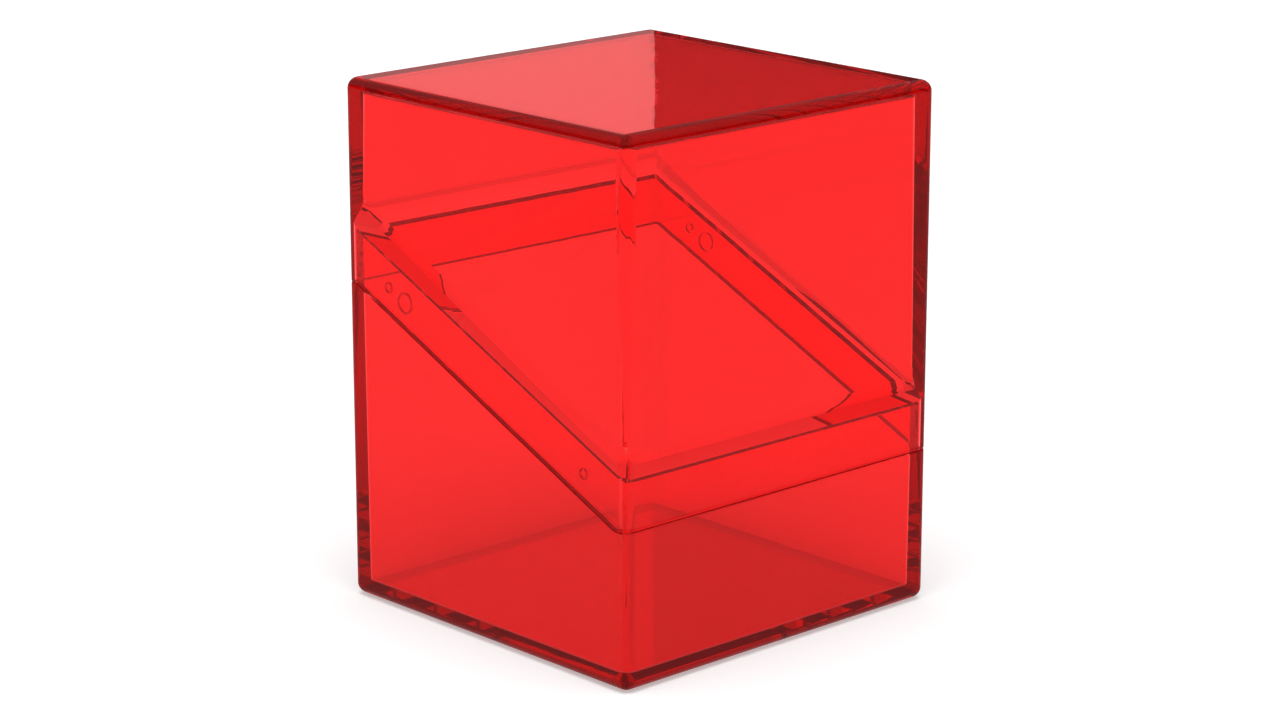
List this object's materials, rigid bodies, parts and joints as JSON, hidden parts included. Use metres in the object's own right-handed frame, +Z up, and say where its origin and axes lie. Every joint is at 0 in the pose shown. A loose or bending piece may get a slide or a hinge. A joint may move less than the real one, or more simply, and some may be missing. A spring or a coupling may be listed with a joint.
{
  "type": "card deck box",
  "caption": "Clear tinted plastic deck box: a tray base with a slanted split and a lift-off lid that slides down over its inner lip.",
  "frame": {"origin": "middle of the underside, on the surface that the box stands on", "axes": "+X along the width, +Y from the low front of the split to its high back, +Z up"},
  "size_m": [0.0762, 0.075, 0.098],
  "materials": {
    "base_plastic": "clear tinted, polished",
    "lid_plastic": "clear tinted, polished"
  },
  "bodies": {
    "base": {"base_shell": "base_plastic"},
    "lid": {"lid_shell": "lid_plastic"}
  },
  "joints": [
    {"name": "lid_lift", "type": "slide", "parent": "base", "child": "lid", "axis": [0, 0, 1], "range_m": [0, 0.07]}
  ]
}
